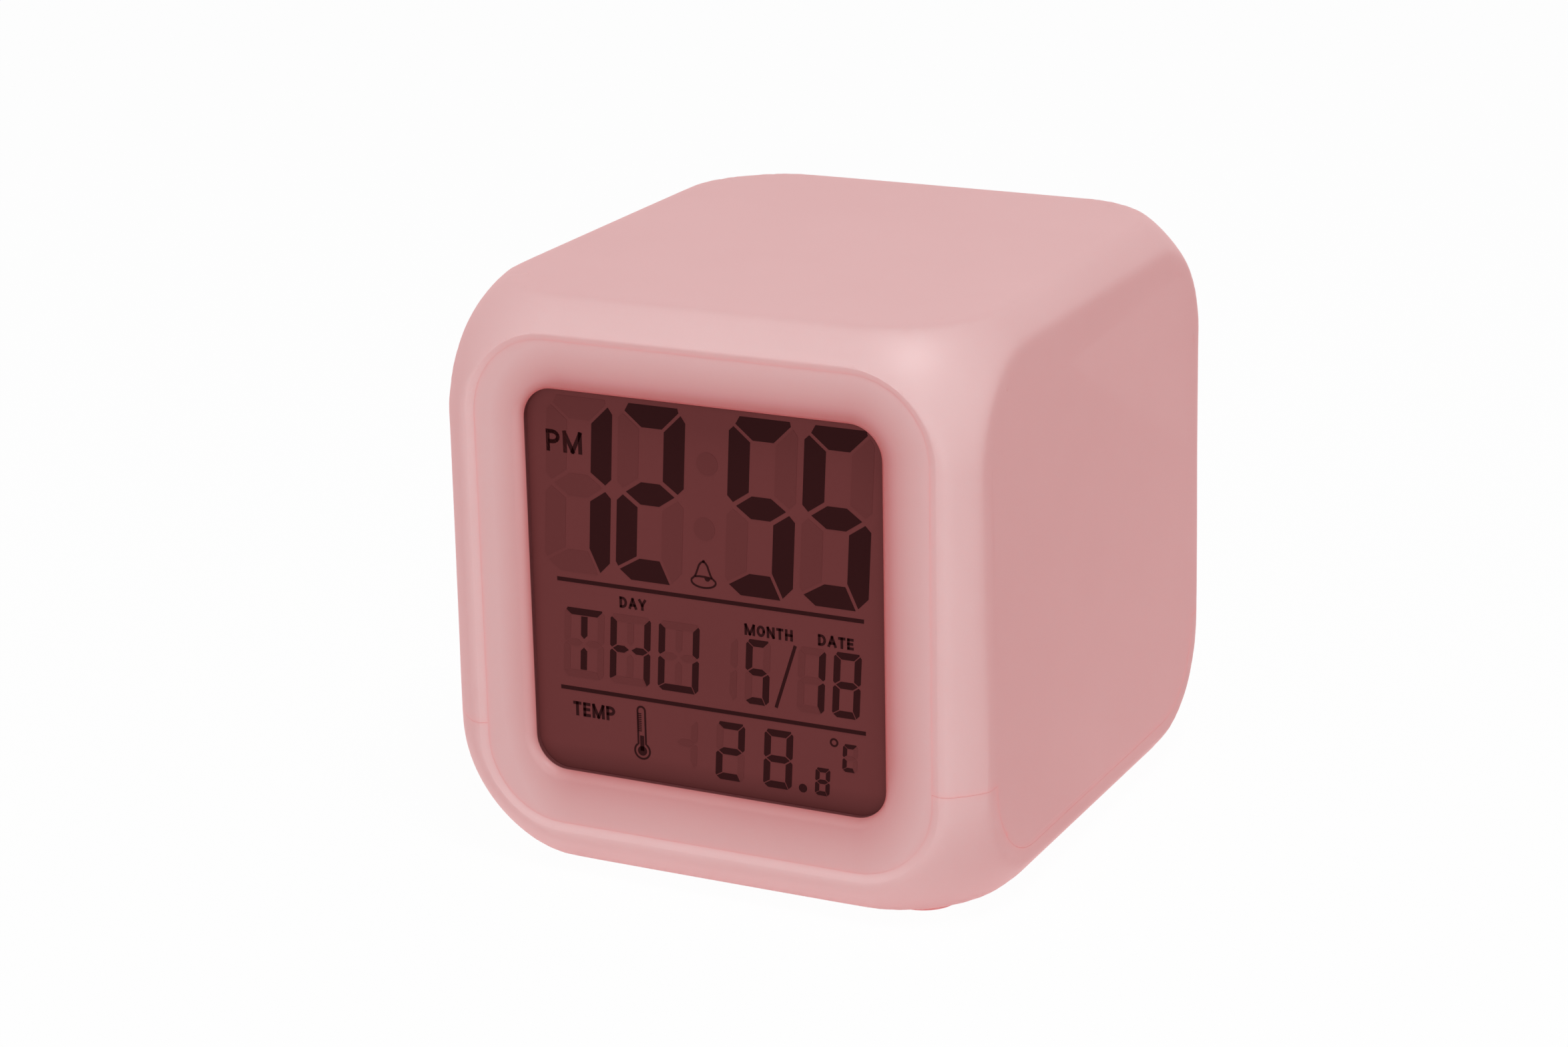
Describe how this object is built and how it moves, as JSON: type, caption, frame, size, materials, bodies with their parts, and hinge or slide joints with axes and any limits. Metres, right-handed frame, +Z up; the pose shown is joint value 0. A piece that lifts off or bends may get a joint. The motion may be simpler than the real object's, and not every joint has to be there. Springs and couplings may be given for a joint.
{
  "type": "cube alarm clock",
  "caption": "Cube-shaped glowing alarm clock with a segment display in the front panel, keys and a battery door at the back, and a press plate under the base.",
  "frame": {"origin": "on the table, under the middle of the housing", "axes": "+Z up, the display faces -Y, +X to the right of someone who reads it"},
  "size_m": [0.0788, 0.086, 0.08],
  "materials": {
    "housing": "translucent milky plastic, satin",
    "panel": "translucent milky plastic, satin",
    "milky": "milky plastic, satin",
    "display": "segment display behind a clear cover",
    "rubber": "matt",
    "dark_plastic": "satin",
    "epoxy": "gloss",
    "circuit_board": "lacquered board",
    "steel": "zinc plated",
    "nickel": "nickel plated",
    "cell_jacket": "printed foil, satin",
    "red_lead": "satin",
    "black_lead": "satin",
    "ribbon": "satin"
  },
  "bodies": {
    "clock": {"upper_housing": "housing", "base_housing": "housing", "front_panel": "panel", "rear_panel": "panel", "display_spacer": "milky", "backlight_diffuser": "milky", "colour_light_left": "milky", "colour_light_right": "milky", "lcd_glass": "display", "connector_strip": "rubber", "foot_1": "rubber", "foot_2": "rubber", "foot_3": "rubber", "foot_4": "rubber", "buzzer": "dark_plastic", "key_switch_1": "dark_plastic", "key_switch_2": "dark_plastic", "key_switch_3": "dark_plastic", "key_switch_4": "dark_plastic", "press_switch": "dark_plastic", "chip_cover": "epoxy", "temperature_sensor": "epoxy", "main_board": "circuit_board", "key_board": "circuit_board", "press_board": "circuit_board", "board_screw_1": "steel", "board_screw_2": "steel", "board_screw_3": "steel", "board_screw_4": "steel", "key_board_screw_1": "steel", "key_board_screw_2": "steel", "press_board_screw_1": "steel", "press_board_screw_2": "steel", "housing_screw_1": "steel", "housing_screw_2": "steel", "housing_screw_3": "steel", "housing_screw_4": "steel", "light_switch_body": "steel", "crystal": "nickel", "battery_contact_1": "nickel", "battery_contact_2": "nickel", "battery_contact_3": "nickel", "battery_contact_4": "nickel", "battery_contact_5": "nickel", "battery_cell_1": "cell_jacket", "battery_cell_2": "cell_jacket", "battery_cell_3": "cell_jacket", "battery_cell_4": "cell_jacket", "battery_lead_red": "red_lead", "battery_lead_black": "black_lead", "press_lead": "black_lead", "key_ribbon": "ribbon"},
    "door": {"battery_door": "panel"},
    "mode_key": {"mode_button": "milky"},
    "set_key": {"set_button": "milky"},
    "up_key": {"up_button": "milky"},
    "down_key": {"down_button": "milky"},
    "light_knob": {"light_switch_knob": "dark_plastic"},
    "press_plate": {"press_button": "milky"}
  },
  "joints": [
    {"name": "door_hinge", "type": "hinge", "parent": "clock", "child": "door", "pos_m": [0, 0.0423, 0.01159], "axis": [-1, 0, 0], "range_deg": [0, 70]},
    {"name": "mode_press", "type": "slide", "parent": "clock", "child": "mode_key", "axis": [0, -1, 0], "range_m": [0, 0.0008], "stiffness_N_per_m": 1500},
    {"name": "set_press", "type": "slide", "parent": "clock", "child": "set_key", "axis": [0, -1, 0], "range_m": [0, 0.0008], "stiffness_N_per_m": 1500},
    {"name": "up_press", "type": "slide", "parent": "clock", "child": "up_key", "axis": [0, -1, 0], "range_m": [0, 0.0008], "stiffness_N_per_m": 1500},
    {"name": "down_press", "type": "slide", "parent": "clock", "child": "down_key", "axis": [0, -1, 0], "range_m": [0, 0.0008], "stiffness_N_per_m": 1500},
    {"name": "light_slide", "type": "slide", "parent": "clock", "child": "light_knob", "axis": [1, 0, 0], "range_m": [0, 0.003]},
    {"name": "plate_press", "type": "slide", "parent": "clock", "child": "press_plate", "axis": [0, 0, 1], "range_m": [0, 0.0008], "stiffness_N_per_m": 1500}
  ]
}
